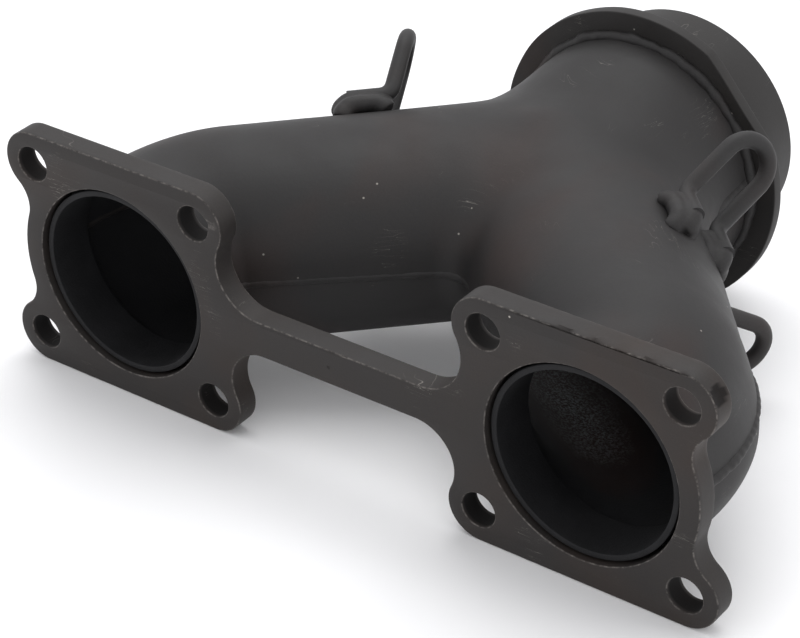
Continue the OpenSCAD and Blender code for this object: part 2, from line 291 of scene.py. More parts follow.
    # Dull skin: rougher in the pale clouds, and roughest where shade is painted into the holes and
    # the chip.
    dull = add(tree, "ShaderNodeMapRange",
               {"Value": clouds, "From Min": 0.3, "From Max": 0.7, "To Min": 0.52,
                "To Max": 0.66}).outputs["Result"]
    dull = add(tree, "ShaderNodeMath",
               {0: soot, 1: 0.4, 2: dull}, operation="MULTIPLY_ADD", use_clamp=True).outputs[0]
    tree.links.new(dull, skin.inputs["Roughness"])
    # Orange peel of 2.2 mm and the grain of the spray, 0.06 and 0.03 mm high.
    orange = add(tree, "ShaderNodeTexNoise", {"Vector": place, "Scale": 1 / 0.0022, "Detail": 2.0})
    low = add(tree, "ShaderNodeBump",
              {"Strength": 0.35 * grain, "Distance": 0.00006,
               "Height": orange.outputs["Fac"]}).outputs["Normal"]
    fine = add(tree, "ShaderNodeBump",
               {"Strength": 0.5 * grain, "Distance": 0.00003, "Height": spray,
                "Normal": low}).outputs["Normal"]
    tree.links.new(fine, skin.inputs["Normal"])
    # The powdery skin mirrors less than a smooth paint with the same IOR.
    skin.inputs["Specular IOR Level"].default_value = 0.34
    skin.inputs["IOR"].default_value = 1.5
    return material


plate_black = sprayed_black("plate_black_paint", "#221f1e", "#2b2725", "#32261f", specks=1.3,
                            scratches=1.2)
sheet_black = sprayed_black("sheet_black_paint", "#1c1b1b", "#252323", "#2e211d", specks=0.8,
                            scratches=0.8)
ring_black = sprayed_black("ring_black_paint", "#1e1c1b", "#262423", "#2c211d")
wire_black = sprayed_black("wire_black_paint", "#232222", "#2c2b2b", "#2f2421", rub=0.8)
weld_black = sprayed_black("weld_black_paint", "#1c1b1b", "#252323", "#2e211d", specks=0.6,
                           scratches=0.3, rub=0.7, grain=1.6)
print("coats:", [m.name for m in bpy.data.materials if m.name.endswith("paint")])

# %% [markdown]
# ## The sooty inside
# Burnt oil leaves a dead black film inside the ducts. It takes almost no light. In the right
# runner a patch of the floor is bare and scaly, with pale grit and a brown margin, and some
# rust dots the film elsewhere. The patch is placed by its distance from one point of the
# runner's floor, in the piece's own coordinates.


# %% Material of the ducts' inside
def sooty_film(name, tone, bare=None):
    """Dead black soot with rust dots. bare is the middle of a scaly bare patch, in metres."""
    material, tree, skin, place = blank(name)
    film = add(tree, "ShaderNodeTexNoise",
               {"Vector": place, "Scale": 1 / 0.009, "Detail": 6.0,
                "Roughness": 0.65}).outputs["Fac"]
    film_step = add(tree, "ShaderNodeMapRange",
                    {"Value": film, "From Min": 0.35, "From Max": 0.7}).outputs["Result"]
    base = add(tree, "ShaderNodeMix",
               {"Factor": film_step, 6: linear(tone), 7: linear("#18181a")},
               data_type="RGBA").outputs[2]
    # Rust dots of about 1 mm, one in eight cells of a 9 mm net.
    net = add(tree, "ShaderNodeTexVoronoi", {"Vector": place, "Scale": 1 / 0.009})
    dot = add(tree, "ShaderNodeMapRange",
              {"Value": net.outputs["Distance"], "From Min": 0.05, "From Max": 0.11, "To Min": 0.7,
               "To Max": 0.0}).outputs["Result"]
    chance = add(tree, "ShaderNodeSeparateColor", {0: net.outputs["Color"]}).outputs[1]
    pick = add(tree, "ShaderNodeMath", {0: chance, 1: 0.87}, operation="GREATER_THAN").outputs[0]
    rust = add(tree, "ShaderNodeMath", {0: dot, 1: pick}, operation="MULTIPLY").outputs[0]
    base = add(tree, "ShaderNodeMix",
               {"Factor": rust, 6: base, 7: linear("#6b4424")}, data_type="RGBA").outputs[2]
    grit = add(tree, "ShaderNodeTexNoise",
               {"Vector": place, "Scale": 1 / 0.0006, "Detail": 3.0,
                "Roughness": 0.7}).outputs["Fac"]
    if bare:
        # The patch is 44 mm long and 18 mm wide, and lies along the runner.
        within = add(tree, "ShaderNodeMapping",
                     {"Vector": place, "Location": bare, "Rotation": (0, 0, math.radians(145)),
                      "Scale": (0.022, 0.009, 0.03)}, vector_type="TEXTURE").outputs["Vector"]
        away = add(tree, "ShaderNodeVectorMath", {0: within}, operation="LENGTH").outputs["Value"]
        ragged = add(tree, "ShaderNodeMath",
                     {0: film, 1: 0.9, 2: away}, operation="MULTIPLY_ADD").outputs[0]
        brown = add(tree, "ShaderNodeMapRange",
                    {"Value": ragged, "From Min": 1.0, "From Max": 2.3, "To Min": 0.8,
                     "To Max": 0.0}).outputs["Result"]
        base = add(tree, "ShaderNodeMix",
                   {"Factor": brown, 6: base, 7: linear("#3a2019")}, data_type="RGBA").outputs[2]
        scale = add(tree, "ShaderNodeMapRange",
                    {"Value": grit, "From Min": 0.44, "From Max": 0.62}).outputs["Result"]
        core = add(tree, "ShaderNodeMapRange",
                   {"Value": ragged, "From Min": 0.5, "From Max": 1.7, "To Min": 0.8,
                    "To Max": 0.0}).outputs["Result"]
        pale = add(tree, "ShaderNodeMath", {0: scale, 1: core}, operation="MULTIPLY").outputs[0]
        base = add(tree, "ShaderNodeMix",
                   {"Factor": pale, 6: base, 7: linear("#a9b2b3")}, data_type="RGBA").outputs[2]
    tree.links.new(base, skin.inputs["Base Color"])
    crust = add(tree, "ShaderNodeBump",
                {"Strength": 0.6, "Distance": 0.0002, "Height": grit}).outputs["Normal"]
    tree.links.new(crust, skin.inputs["Normal"])
    skin.inputs["Roughness"].default_value = 0.7
    skin.inputs["Specular IOR Level"].default_value = 0.3
    return material


soot_upper = sooty_film("soot_film", "#141416")
soot_lower = sooty_film("soot_film_bare_patch", "#141416", bare=(0.0330, 0.0460, -0.0230))
soot_sleeve = sooty_film("soot_film_sleeve", "#0d0d0f")
print("soot films made:", soot_upper.name, soot_lower.name, soot_sleeve.name)

# %% [markdown]
# ## Camera, floor and light
# The view is from the front right and above, through a long lens of about 124 mm. The part
# rests on the lower edge of the flange and on the rim of the stop ring, so the floor leans by
# 6.3 degrees against the part. A white floor, a bright even surround and one large soft
# lamp above give soft tops, dark undersides and a faint contact shadow.

# %% Camera
# Its right, down and forward directions in the part's frame, and then its place in mm.
look_right = Vector((0.80189, 0.59664, -0.0316))
look_down = Vector((0.3027, -0.45129, -0.83947))
look_ahead = Vector((-0.51512, 0.6636, -0.54248))
camera_data = bpy.data.cameras.new("camera")
camera_data.sensor_width = 36
camera_data.lens = 123.7
camera_data.clip_start, camera_data.clip_end = 0.02, 20
camera = show(camera_data, "camera")
turn = Matrix((look_right, -look_down, -look_ahead)).transposed().to_4x4()
camera.matrix_world = Matrix.Translation(Vector((330.26, -401.42, 348.92)) * MM) @ turn
bpy.context.scene.camera = camera
print("camera looks along", [round(v, 3) for v in look_ahead])

# %% Floor
FLOOR_SLOPE = -(45.5 - 31.6) / RING_Y
floor_mesh = bpy.data.meshes.new("floor")
side = 3000
corners = [(x, y, -31.65 + FLOOR_SLOPE * y) for x, y in
           ((-side, -side), (side, -side), (side, side), (-side, side))]
floor_mesh.from_pydata([Vector(c) * MM for c in corners], [], [(0, 1, 2, 3)])
floor = show(floor_mesh, "floor")
floor_paper, paper_tree, paper_skin, paper_place = blank("white_paper")
paper_cloud = add(paper_tree, "ShaderNodeTexNoise",
                  {"Vector": paper_place, "Scale": 1 / 0.06, "Detail": 4.0}).outputs["Fac"]
paper_tone = add(paper_tree, "ShaderNodeMix",
                 {"Factor": paper_cloud, 6: linear("#eeeeef"), 7: linear("#f6f6f6")},
                 data_type="RGBA").outputs[2]
paper_tree.links.new(paper_tone, paper_skin.inputs["Base Color"])
paper_skin.inputs["Roughness"].default_value = 0.55
floor_mesh.materials.append(floor_paper)
print("floor leans", round(math.degrees(math.atan(FLOOR_SLOPE)), 2), "degrees")

# %% Light
world = bpy.data.worlds.new("bright_surround")
bpy.context.scene.world = world
world.use_nodes = True
world.node_tree.nodes["Background"].inputs["Color"].default_value = linear("#fbfbfd")
world.node_tree.nodes["Background"].inputs["Strength"].default_value = 1.12


def softbox(name, place, aim, size, power):
    """A square area lamp at place, aimed at a point; both in metres."""
    data = bpy.data.lights.new(name, "AREA")
    data.shape = "SQUARE"
    data.size = size
    data.energy = power
    lamp = show(data, name)
    lamp.location = place
    lamp.rotation_euler = (Vector(aim) - Vector(place)).to_track_quat("-Z", "Y").to_euler()


softbox("overhead_softbox", (-0.25, 0.55, 1.25), (0, 0.06, 0), 1.1, 8)
softbox("side_softbox", (1.15, 0.35, 0.55), (0, 0.06, 0), 0.8, 1.5)

# %% [markdown]
# ## Flange plate
# The real plate is cut from 6 mm steel: two square pads with an ear round each bolt hole,
# joined by a narrow bridge. Its outline is a chain of arcs that touch each other, so it is
# worked out from their middles and radii. A flat curve with holes makes it cleanly: the curve
# fills itself, leaves the bores open and rounds the edges by a third of a millimetre.


# %% Outline of the plate from touching arcs
def polar(middle, radius, degrees):
    """Point at a distance and an angle from a middle."""
    turn_to = math.radians(degrees)
    return np.array(middle) + radius * np.array([math.cos(turn_to), math.sin(turn_to)])


def heading(start, end):
    """Angle in degrees of the way from one point to another."""
    return math.degrees(math.atan2(end[1] - start[1], end[0] - start[0]))


def arc(middle, radius, start, end):
    """Points 0.5 mm apart along an arc."""
    count = max(4, int(abs(math.radians(end - start)) * radius / 0.5))
    return [polar(middle, radius, start + (end - start) * i / count) for i in range(count + 1)]


def hollow(disc, disc_r, ear, ear_r, way):
    """Middle of the hollow that touches both circles."""
    gap = np.linalg.norm(ear - disc)
    near = (disc_r**2 - ear_r**2 + gap**2) / (2 * gap)
    along = (ear - disc) / gap
    across = np.array([-along[1], along[0]])
    return disc + near * along + way * math.sqrt(disc_r**2 - near**2) * across


def bridge_hollow(ear, radius, way):
    """Middle of the hollow between an inner ear and the bridge, which is 9.4 mm high."""
    height = way * (4.7 + radius)
    return np.array([ear[0] - math.sqrt((EAR_R + radius) ** 2 - (ear[1] - height) ** 2), height])


port = np.array([PORT_X, 0.0])
upper = polar((0, 0), BOLT_CIRCLE_R, 45.25)
lower = polar((0, 0), BOLT_CIRCLE_R, -40.5)
ears = {"outer_upper": port + upper, "inner_upper": port + upper * (-1, 1),
        "outer_lower": port + lower, "inner_lower": port + lower * (-1, 1)}
hollow_up = hollow(port, PAD_R + 8, ears["outer_upper"], EAR_R + 8, -1)
hollow_low = hollow(port, PAD_R + 8, ears["outer_lower"], EAR_R + 8, 1)
under_up = bridge_hollow(ears["inner_upper"], 11.5, 1)
under_low = bridge_hollow(ears["inner_lower"], 10.5, -1)
half_outline = (
    arc(under_low, 10.5, 90, heading(under_low, ears["inner_lower"]))
    + arc(ears["inner_lower"], EAR_R, heading(ears["inner_lower"], under_low), 270)
    + arc(ears["outer_lower"], EAR_R, -90, heading(ears["outer_lower"], hollow_low))
    + arc(hollow_low, 8, 360 + heading(hollow_low, ears["outer_lower"]), heading(hollow_low, port))
    + arc(port, PAD_R, heading(port, hollow_low), heading(port, hollow_up))
    + arc(hollow_up, 8, 360 + heading(hollow_up, port), heading(hollow_up, ears["outer_upper"]))
    + arc(ears["outer_upper"], EAR_R, heading(ears["outer_upper"], hollow_up), 90)
    + arc(ears["inner_upper"], EAR_R, 90, 360 + heading(ears["inner_upper"], under_up))
    + arc(under_up, 11.5, heading(under_up, ears["inner_upper"]), -90)
)
outline = half_outline + [p * (-1, 1) for p in reversed(half_outline)]


def spaced(points, step=0.8):
    """The same closed line with long straight stretches cut into steps, and doubles dropped."""
    out = []
    for a, b in zip(points, points[1:] + points[:1]):
        length = np.linalg.norm(b - a)
        if length < 1e-6:
            continue
        count = max(1, int(length / step))
        out += [a + (b - a) * i / count for i in range(count)]
    return out


outline = spaced(outline)
print("outline of", len(outline), "points, half width", round(max(p[0] for p in outline), 2))

# %% Plate with its bores and rounded edges
EDGE = 0.35
plate_curve = bpy.data.curves.new("flange_plate", "CURVE")
plate_curve.dimensions = "2D"
plate_curve.fill_mode = "BOTH"
plate_curve.extrude = (PLATE_T / 2 - EDGE) * MM
plate_curve.bevel_depth = EDGE * MM
plate_curve.bevel_resolution = 2
plate_curve.offset = -EDGE * MM


def ring_points(middle, radius, count):
    """Points of a hole, in the opposite turn to the outline."""
    return [polar(middle, radius, -360 * i / count) for i in range(count)]


loops = [outline]
for way in (-1, 1):
    loops.append(ring_points(port * (way, 1), PORT_R, 144))
    loops += [ring_points(ear * (way, 1), BOLT_R, 48) for ear in ears.values()]
for loop in loops:
    line = plate_curve.splines.new("POLY")
    line.points.add(len(loop) - 1)
    for point, (x, z) in zip(line.points, loop):
        point.co = (x * MM, z * MM, 0, 1)
    line.use_cyclic_u = True
plate = show(plate_curve, "flange_plate")
upright = Matrix.Rotation(math.pi / 2, 4, "X")
plate.matrix_world = Matrix.Translation((0, PLATE_T / 2 * MM, 0)) @ upright
plate = plain(plate)
print("plate spans", [round(v / MM, 2) for v in plate.dimensions])

# %% [markdown]
# The plate has led a life: its front edge over the right port is nicked, and the bridge
# carries one punched centring mark. The nicks move points of the front edge back and inwards
# by up to half a millimetre, and the mark is a shallow cone taken out with a boolean.

# %% Nicks in the front edge, and the punched mark
rng = np.random.default_rng(7)
top_z = ears["outer_upper"][1] + EAR_R
dents = [((x, 0.0, top_z), rng.uniform(0.7, 2.2), rng.uniform(0.15, 0.5))
         for x in rng.uniform(50, 92, 22)]
chip = polar(ears["outer_upper"], EAR_R, 30)
dents += [((chip[0], 2.6, chip[1]), 2.6, 0.9), ((chip[0] - 0.6, 1.6, chip[1] + 1.8), 1.3, 0.5),
          ((2.0, 0.0, 4.7), 1.1, 0.35), ((-36.0, 0.0, 27.0), 1.3, 0.35)]
rings_cut = bmesh.new()
rings_cut.from_mesh(plate.data)
for level in (1.2, 2.4, 3.6, 4.8):
    whole = rings_cut.verts[:] + rings_cut.edges[:] + rings_cut.faces[:]
    bmesh.ops.bisect_plane(rings_cut, geom=whole, plane_co=(0, level * MM, 0), plane_no=(0, 1, 0))
rings_cut.to_mesh(plate.data)
rings_cut.free()
moved = 0
for vertex in plate.data.vertices:
    x, y, z = vertex.co / MM
    for (dent_x, dent_y, dent_z), width, depth in dents:
        near = math.dist((x, y, z), (dent_x, dent_y, dent_z)) / width
        if near < 1:
            inward = Vector((port[0] - x, 0, -z)).normalized()
            back = 0.7 if y < 0.6 else 0.0
            vertex.co += (inward * 0.7 + Vector((0, back, 0))) * depth * (1 - near**2) * MM
            moved += 1
form = bmesh.new()
bmesh.ops.create_cone(form, segments=24, radius1=0.0, radius2=1.5 * MM, depth=1.4 * MM,
                      cap_ends=True,
                      matrix=Matrix.Translation((-2.5 * MM, -0.2 * MM, 0)) @ upright)
punch = show(filled(form, "punch"), "punch")
cut = plate.modifiers.new("punch", "BOOLEAN")
cut.object = punch
cut.solver = "EXACT"
plate = plain(plate)
bpy.data.objects.remove(punch)
clean(plate, 25)
mark(plate, "wear", lambda x, y, z: 1.0 if 0.03 < min(y, PLATE_T - y) < EDGE - 0.05 else 0.0)


def in_shade(x, y, z):
    """1 on the walls of the bolt holes and on the chip, the places where shade is painted in as
    darker colour.
    """
    if not 0.4 < y < PLATE_T - 0.4:
        return 0.0
    if math.dist((x, y, z), (chip[0], 2.6, chip[1])) < 2.4:
        return 0.9
    return max(1.0 if math.hypot(abs(x) - ear[0], z - ear[1]) < BOLT_R + 0.1 else 0.0
               for ear in ears.values())


# Painted shade: this attribute darkens the bolt-hole walls and the chip.
mark(plate, "soot", in_shade)
plate.data.materials.clear()
plate.data.materials.append(plate_black)
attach(plate, "root")
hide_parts("port_flange")
print("points moved by nicks:", moved)

# %% [markdown]
# ## The two shells
# On the real part two half shells are pressed from 1.7 mm sheet and welded along the middle.
# The runners are round at the flange, turn 45 degrees, widen and flatten, and flow into the
# collector. Such a blend is awkward to lay out by hand but easy to state as a rule: each duct
# has a distance function, a smooth minimum joins the three, and the skin is where it is zero.
# A rough closed mesh is remeshed evenly, and each point is then moved onto that skin.


# %% Distance functions of the ducts
def smooth_step(value, low, high):
    """0 below low, 1 above high, and an even curve between."""
    t = np.clip((value - low) / (high - low), 0, 1)
    return t * t * (3 - 2 * t)


def oval(across, up, half_w, half_h):
    """About the distance in mm to an oval's edge, negative inside."""
    return (np.sqrt((across / half_w) ** 2 + (up / half_h) ** 2) - 1) * np.minimum(half_w, half_h)


def runner_field(x, y, z):
    """About the distance in mm to the right runner's skin, negative inside."""
    angle = np.arctan2(y - BEND_Y, x - BEND_X)
    straight = y < BEND_Y
    after = ~straight & ((angle > BEND_TURN) | (x < BEND_X - 5))
    root_half = math.sqrt(0.5)
    along = (-(x - FLARE_X) + (y - FLARE_Y)) * root_half
    off = np.where(straight, x - PORT_X,
                   np.where(after, ((x - FLARE_X) + (y - FLARE_Y)) * root_half,
                            np.hypot(x - BEND_X, y - BEND_Y) - BEND_R))
    station = np.where(straight, y - BEND_Y, np.where(after, BEND_L + along, BEND_R * angle))
    share = np.clip((station - BEND_L) / FLARE_L, 0, 1.1)
    half_w = RUNNER_R + (MEETING_W - RUNNER_R) * share
    half_h = (RUNNER_R + (BEND_H - RUNNER_R) * smooth_step(station, 0, BEND_L)
              + (MEETING_H - BEND_H) * share)
    # The lower shell is fuller on the outside of the bend.
    swell = 2.5 * np.exp(-((station - 10) / 14) ** 2) * smooth_step(off / half_w, 0.0, 0.8)
    swell = swell * smooth_step(-z / half_h, -0.35, 0.3)
    field = oval(off, z, half_w, half_h) - swell
    return np.maximum(field, station - BEND_L - FLARE_L)


def collector_field(x, y, z):
    """The same for the collector, which sinks to the outlet's height."""
    share = np.clip((y - 90) / (RING_Y - 90), 0, 1.2)
    lift = smooth_step(y, 92, 122)
    half_w = MEETING_W + (COLLECTOR_R - MEETING_W) * share
    half_h = MEETING_H + (COLLECTOR_R - MEETING_H) * lift
    return np.maximum(oval(x, z - OUTLET_Z * lift, half_w, half_h), 88 - y)


def blend(a, b, reach):
    """Smooth minimum, which fills the corner where two fields meet."""
    near = np.maximum(reach - np.abs(a - b), 0) / reach
    return np.minimum(a, b) - near * near * reach / 4


def body_field(p):
    """The whole body's field at an array of points."""
    x, y, z = p[:, 0], p[:, 1], p[:, 2]
    pair = blend(runner_field(x, y, z), runner_field(-x, y, z), 6.0)
    reach = 12.0 - 9.0 * smooth_step(np.abs(z), 8, 20)
    return blend(pair, collector_field(x, y, z), reach)


check = np.array([[PORT_X + RUNNER_R, 10, 0], [COLLECTOR_R, 125, OUTLET_Z]], float)
print("field on two points of the skin:", np.round(body_field(check), 2))


# %% Rough closed mesh of the three ducts
def duct(sections, count=40):
    """Closed tube through oval sections, each (x, y, facing, half width, half height, z)."""
    form = bmesh.new()
    rings = []
    for x, y, facing, half_w, half_h, mid in sections:
        across = Vector((math.cos(facing), math.sin(facing), 0))
        ring = []
        for i in range(count):
            a = 2 * math.pi * i / count
            up = Vector((0, 0, half_h * math.sin(a)))
            point = Vector((x, y, mid)) + across * half_w * math.cos(a) + up
            ring.append(form.verts.new(point * MM))
        rings.append(ring)
    for first, second in zip(rings, rings[1:]):
        for i in range(count):
            form.faces.new((first[i], first[i - 1], second[i - 1], second[i]))
    form.faces.new(rings[0])
    form.faces.new(list(reversed(rings[-1])))
    bmesh.ops.recalc_face_normals(form, faces=form.faces)
    return filled(form, "duct")


def runner_sections(way):
    """Sections of the left (-1) or right (1) runner."""
    out = [(way * PORT_X, y, 0, RUNNER_R, RUNNER_R, 0) for y in (-4, BEND_Y)]
    for step in range(1, 7):
        a = BEND_TURN * step / 6
        out.append((way * (BEND_X + BEND_R * math.cos(a)), BEND_Y + BEND_R * math.sin(a), way * a,
                    RUNNER_R, RUNNER_R + step / 6, 0))
    out.append((0, MEETING_Y, way * BEND_TURN, MEETING_W, MEETING_H, 0))
    return out


rough = bmesh.new()
collector_sections = [(0, 88, 0, MEETING_W, MEETING_H, 0)]
collector_sections += [(0, y, 0, COLLECTOR_R, COLLECTOR_R, OUTLET_Z) for y in (124, 134)]
for sections in (runner_sections(-1), runner_sections(1), collector_sections):
    rough.from_mesh(duct(sections))
body = show(filled(rough, "y_body"), "y_body")
even = body.modifiers.new("even", "REMESH")
even.mode = "VOXEL"
even.voxel_size = 1.1 * MM
body = plain(body)
print("remeshed body:", len(body.data.vertices), "points")


# %% Move each point onto the skin
def onto_skin(points, field, steps=6):
    """Newton steps along the field's slope, which is measured by small differences."""
    nudge = 0.05
    for _ in range(steps):
        value = field(points)
        slope = np.stack([(field(points + d) - field(points - d)) / (2 * nudge)
                          for d in np.eye(3) * nudge], axis=1)
        steep = np.maximum((slope**2).sum(axis=1), 0.2)
        points = points - np.clip(value / steep, -1.5, 1.5)[:, None] * slope
    return points


points = np.empty(len(body.data.vertices) * 3)
body.data.vertices.foreach_get("co", points)
points = points.reshape(-1, 3) / MM
inside_ends = (points[:, 1] > 0) & (points[:, 1] < 131)
points[inside_ends] = onto_skin(points[inside_ends], body_field)
body.data.vertices.foreach_set("co", (points * MM).ravel())
# Presswork has no creases, so the stretch where the three ducts meet is ironed a little.
iron = bmesh.new()
iron.from_mesh(body.data)
for low_y, high_y, passes in ((58, 122, 12), (66, 118, 14), (74, 114, 14)):
    soft = [v for v in iron.verts if low_y < v.co.y / MM < high_y and abs(v.co.z) > 0.006]
    for _ in range(passes):
        bmesh.ops.smooth_vert(iron, verts=soft, factor=0.5, use_axis_x=True, use_axis_y=True,
                              use_axis_z=True)
iron.to_mesh(body.data)
iron.free()
middle = points[(points[:, 1] > 6) & (points[:, 1] < RING_Y)]
print("largest miss in mm:", round(float(np.abs(body_field(middle)).max()), 3))


# %% Cut the body into an upper and a lower shell
def shell(name, level, inner_film):
    """One shell, open at its ends and along the joint, with the sheet's thickness inside."""
    form = bmesh.new()
    form.from_mesh(body.data)
    cuts = (((0, PLATE_T * MM, 0), (0, -1, 0)), ((0, RING_Y * MM, 0), (0, 1, 0)),
            ((0, 0, 0), (0, 0, -level)))
    for spot, away in cuts:
        whole = form.verts[:] + form.edges[:] + form.faces[:]
        bmesh.ops.bisect_plane(form, geom=whole, plane_co=spot, plane_no=away, clear_outer=True,
                               dist=0.00002)
    bmesh.ops.remove_doubles(form, verts=form.verts, dist=0.00005)
    piece = show(filled(form, name), name)
    piece.data.materials.append(sheet_black)
    piece.data.materials.append(inner_film)
    wall = piece.modifiers.new("sheet", "SOLIDIFY")
    wall.thickness = SHEET_T * MM
    wall.offset = -1
    wall.material_offset = 1
    piece = plain(piece)
    for face in piece.data.polygons:
        face.use_smooth = True
    clean(piece, 50)
    return piece


upper_shell = shell("upper_pressed_shell", 1, soot_upper)
lower_shell = shell("lower_pressed_shell", -1, soot_lower)
bpy.data.objects.remove(body)
for piece, node in ((upper_shell, "upper_shell"), (lower_shell, "lower_shell")):
    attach(piece, "root")
    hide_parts(node)
    print(piece.name, "spans in mm:", [round(v / MM, 1) for v in piece.dimensions])

# %% [markdown]
# ## Turned and rolled parts
# The sleeves, the stop ring and the spigot are round, so each is one profile carried round
# its axis. The profile has small roundings at its corners, which catch a thin line of light as
# the real edges do. A point of a ring may be pushed in or out, which gives the hand-ground
# flat on the stop ring and its slightly wavy front edge.


# %% A function that turns a profile round the Y axis
def lathe(name, profile, middle, count, bend=None):
    """profile is a closed list of (radius, y) in mm; bend may move each point."""
    form = bmesh.new()
    rings = []
    for i in range(count):
        a = 2 * math.pi * i / count
        ring = []
        for radius, y in profile:
            r, along = bend(a, radius, y) if bend else (radius, y)
            ring.append(form.verts.new(Vector((middle[0] + r * math.cos(a), along,
                                               middle[1] + r * math.sin(a))) * MM))
        rings.append(ring)
    for i in range(count):
        first, second = rings[i - 1], rings[i]
        for j in range(len(profile)):
            form.faces.new((first[j - 1], first[j], second[j], second[j - 1]))
    return show(filled(form, name), name)


def rounded(corners, radius=0.3, steps=3):
    """A closed profile with each corner rounded."""
    out = []
    for i, corner in enumerate(corners):
        corner = np.array(corner, float)
        before = np.array(corners[i - 1], float) - corner
        after = np.array(corners[(i + 1) % len(corners)], float) - corner
        start = corner + before / np.linalg.norm(before) * radius
        end = corner + after / np.linalg.norm(after) * radius
        for step in range(steps + 1):
            t = step / steps
            out.append((1 - t) ** 2 * start + 2 * t * (1 - t) * corner + t**2 * end)
    return [tuple(p) for p in out]


print("rounded square has", len(rounded([(0, 0), (1, 0), (1, 1), (0, 1)], 0.2)), "points")

# %% Port sleeves
# Pressed tube inside each bore of the plate, a little below the engine face.
for way, label in ((-1, "left"), (1, "right")):
    sleeve = lathe("port_sleeve_tube_" + label,
                   rounded([(22.8, 1.3), (24.3, 1.3), (24.3, 14), (22.8, 14)], 0.3, 4),
                   (way * PORT_X, 0), 144,
                   lambda a, r, y: (r + 0.05 * math.sin(3 * a), y + 0.12 * math.sin(2 * a + 1)))
    clean(sleeve, 60)
    sleeve.data.materials.append(soot_sleeve)
    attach(sleeve, "root")
    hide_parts("port_sleeve_" + label)


# %% Stop ring, with a hand-ground flat, and the spigot
def ground(a, r, y):
    """Grinds a straight flat on the rim at 39 degrees, 38.4 mm from the middle."""
    if r < 35:
        return r, y
    wave = 0.5 * math.sin(3 * a + 0.7) + 0.3 * math.sin(7 * a) + 0.2 * math.sin(17 * a)
    facing = math.cos(a - FLAT_ANGLE)
    flat = FLAT_R / facing if facing > 0.5 else 99
    flat -= 0.35 * (1 + wave) * math.exp(-((math.degrees(a) - 60) / 4) ** 2)
    rim_r = min(RING_R - 0.12 * (1 + wave), flat)
    return r - (RING_R - rim_r), y + (0.2 * wave if y < 128 else 0.0)


ring_profile = rounded([(SPIGOT_SEAT_R, RING_Y), (RING_R, RING_Y), (RING_R, RING_BACK_Y),
                        (SPIGOT_SEAT_R, RING_BACK_Y)], 0.35)
ring = lathe("stop_ring_plate", ring_profile, (0, OUTLET_Z), 220, ground)
seat_y = RING_BACK_Y - 0.1
spigot_profile = rounded([(SPIGOT_BORE_R, RING_Y - 5), (SPIGOT_SEAT_R, RING_Y - 5),
                          (SPIGOT_SEAT_R, seat_y), (SPIGOT_R, seat_y),
                          (SPIGOT_R, SPIGOT_END_Y), (SPIGOT_BORE_R, SPIGOT_END_Y)], 0.3)
spigot = lathe("outlet_spigot_tube", spigot_profile, (0, OUTLET_Z), 200)
for piece, node in ((ring, "stop_ring"), (spigot, "outlet_spigot")):
    clean(piece, 60)
    piece.data.materials.append(ring_black)
    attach(piece, "root")
    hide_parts(node)

# %% [markdown]
# ## Spring hooks
# Four loops of 4.2 mm wire hold the springs that pull the exhaust pipe onto the spigot. On the
# real part each is bent by hand: two feet lie along the runner, the legs rise from them with a
# lean to the outlet, and a half circle joins the legs. A round bevelled curve along the wire's
# middle line is the plain way to make bent wire. Each hook stands a little differently.


# %% Middle line of one hook's wire
def hook_place(way, level, station, angle):
    """Frame of a hook: x round the runner, y along it to the outlet, z away from it."""
    share = station / FLARE_L
    half_w = RUNNER_R + station * SPREAD
    half_h = BEND_H - share * (BEND_H - MEETING_H)
    a = math.radians(angle)
    skin = 1 / math.hypot(math.cos(a) / half_w, math.sin(a) / half_h)
    frame_right = (Matrix.Translation((FLARE_X, FLARE_Y, 0))
                   @ Matrix.Rotation(BEND_TURN, 4, "Z")
                   @ Matrix.Translation((0, station, 0))
                   @ Matrix.Rotation(math.radians(90 - level * angle), 4, "Y")
                   @ Matrix.Translation((0, 0, skin + WIRE_R)))
    return Matrix.Diagonal((way, 1, 1, 1)) @ frame_right


def hook_line(lean, rise, gap, foot=8.2, bend_r=4.0):
    """Foot, bend, leg, half a loop, and the same back again, in the hook's own frame."""
    half = gap / 2
    turned = math.radians(90 - lean)
    start = -bend_r * math.tan(turned / 2)
    leg = [Vector((half, start - foot * (1 - i / 8), 0)) for i in range(8)]
    leg += [Vector((half, start + bend_r * math.sin(turned * i / 8),
                    bend_r * (1 - math.cos(turned * i / 8)))) for i in range(9)]
    up = Vector((0, math.sin(math.radians(lean)), math.cos(math.radians(lean))))
    loop_up = rise - half
    steps = [Vector((half, 0, 0)) + up * (bend_r + (loop_up - bend_r) * i / 6) for i in range(1, 6)]
    loop = [Vector((half * math.cos(math.pi * i / 24), 0, 0))
            + up * (loop_up + half * math.sin(math.pi * i / 24)) for i in range(25)]
    back = [Vector((-p.x, p.y, p.z)) for p in reversed(leg + steps)]
    return leg + steps + loop + back


def wire(name, points, radius):
    """Round wire along points given in mm."""
    line = bpy.data.curves.new(name, "CURVE")
    line.dimensions = "3D"
    line.bevel_depth = radius * MM
    line.bevel_resolution = 6
    line.use_fill_caps = True
    spline = line.splines.new("POLY")
    spline.points.add(len(points) - 1)
    for point, place in zip(spline.points, points):
        point.co = (*(place * MM), 1)
    return plain(show(line, name))


HOOKS = {
    "upper_left": (-1, 1, 42.4, 33.6, 21.5, 20.5, 14.9),
    "upper_right": (1, 1, 42.4, 33.4, 21.0, 21.6, 13.7),
    "lower_left": (-1, -1, 42.0, 33.5, 21.0, 21.5, 13.8),
    "lower_right": (1, -1, 42.4, 34.4, 15.5, 22.2, 14.6),
}
hook_frames = {}
for label, (way, level, station, angle, lean, rise, gap) in HOOKS.items():
    place = hook_place(way, level, station, angle)
    hook_frames[label] = place
    line = [place @ p for p in hook_line(lean, rise, gap)]
    hook = wire("spring_hook_wire_" + label, line, WIRE_R)
    clean(hook, 60)
    hook.data.materials.clear()
    hook.data.materials.append(wire_black)
    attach(hook, "root")
    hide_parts("spring_hook_" + label)

